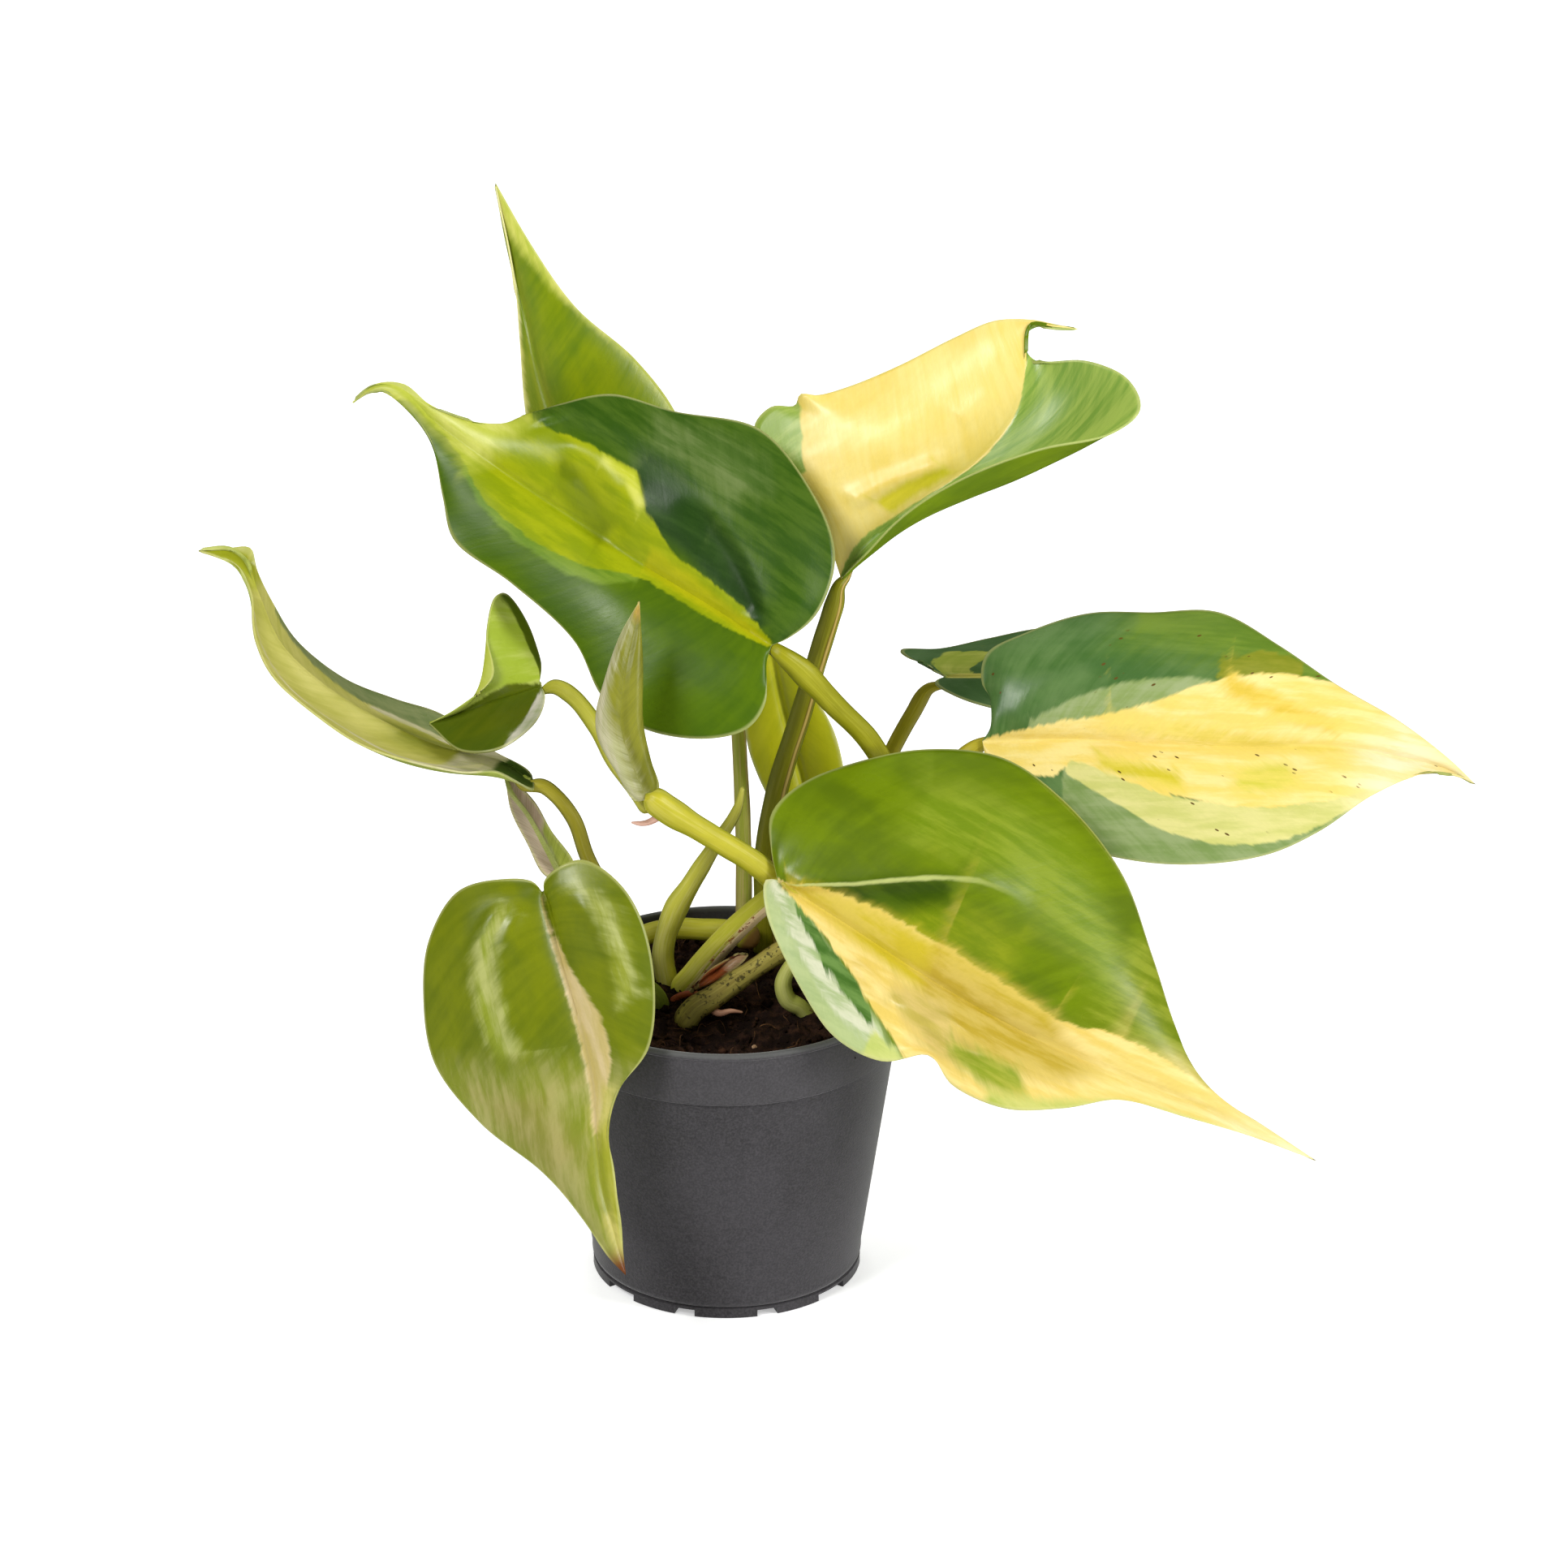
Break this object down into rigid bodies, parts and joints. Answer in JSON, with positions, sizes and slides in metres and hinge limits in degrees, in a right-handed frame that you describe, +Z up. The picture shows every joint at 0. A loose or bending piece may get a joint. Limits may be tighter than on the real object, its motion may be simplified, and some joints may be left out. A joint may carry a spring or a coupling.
{
  "type": "potted philodendron",
  "caption": "Small variegated heart-leaf philodendron with long leaf stalks and papery sheaths, growing in a round tapered nursery pot with a collar and a notched foot.",
  "frame": {"origin": "centre of the pot's base pad, on the plane it stands on", "axes": "+Z up along the pot's axis; -Y is the front, where the large front leaf faces; +X to the viewer's right"},
  "size_m": [0.224, 0.1156, 0.1841],
  "materials": {
    "pot_plastic": "matt, fine grained, thin moulded plastic",
    "peat": "crumbly, fibrous, damp peat",
    "grain": "porous, dull tan grain",
    "leaf_dark": "waxy, soft gloss, dark green",
    "leaf_green": "waxy, soft gloss, bright green",
    "leaf_cream": "waxy, soft gloss, cream and yellow",
    "stalk_green": "smooth, slightly glossy, striped",
    "sheath_skin": "papery, fibrous",
    "root_skin": "dry, dull"
  },
  "bodies": {
    "root": {"nursery_pot": "pot_plastic", "soil": "peat", "perlite_grain": "grain", "leaf_front_right": "leaf_green", "leaf_middle_left": "leaf_dark", "leaf_yellow": "leaf_cream", "leaf_right": "leaf_cream", "leaf_lower_left": "leaf_green", "leaf_back_left": "leaf_green", "leaf_far_left": "leaf_green", "leaf_small_folded": "leaf_green", "leaf_behind_stalks": "leaf_green", "leaf_back_right": "leaf_dark", "sheath_green": "sheath_skin", "sheath_dry": "sheath_skin", "stem_scale": "root_skin", "petiole_back_left": "stalk_green", "petiole_middle_left": "stalk_green", "petiole_yellow": "stalk_green", "vine_stem": "stalk_green", "new_shoot": "stalk_green", "stalk_speckled": "stalk_green", "side_stem": "stalk_green", "old_stem": "stalk_green", "small_shoot": "stalk_green", "petiole_small_folded": "stalk_green", "petiole_far_left": "stalk_green", "petiole_lower_left": "stalk_green", "petiole_right": "stalk_green", "petiole_back_right": "stalk_green", "petiole_front_right": "stalk_green", "petiole_behind_stalks": "stalk_green", "stem_root": "root_skin", "root_left": "root_skin", "root_right": "root_skin"}
  },
  "joints": []
}
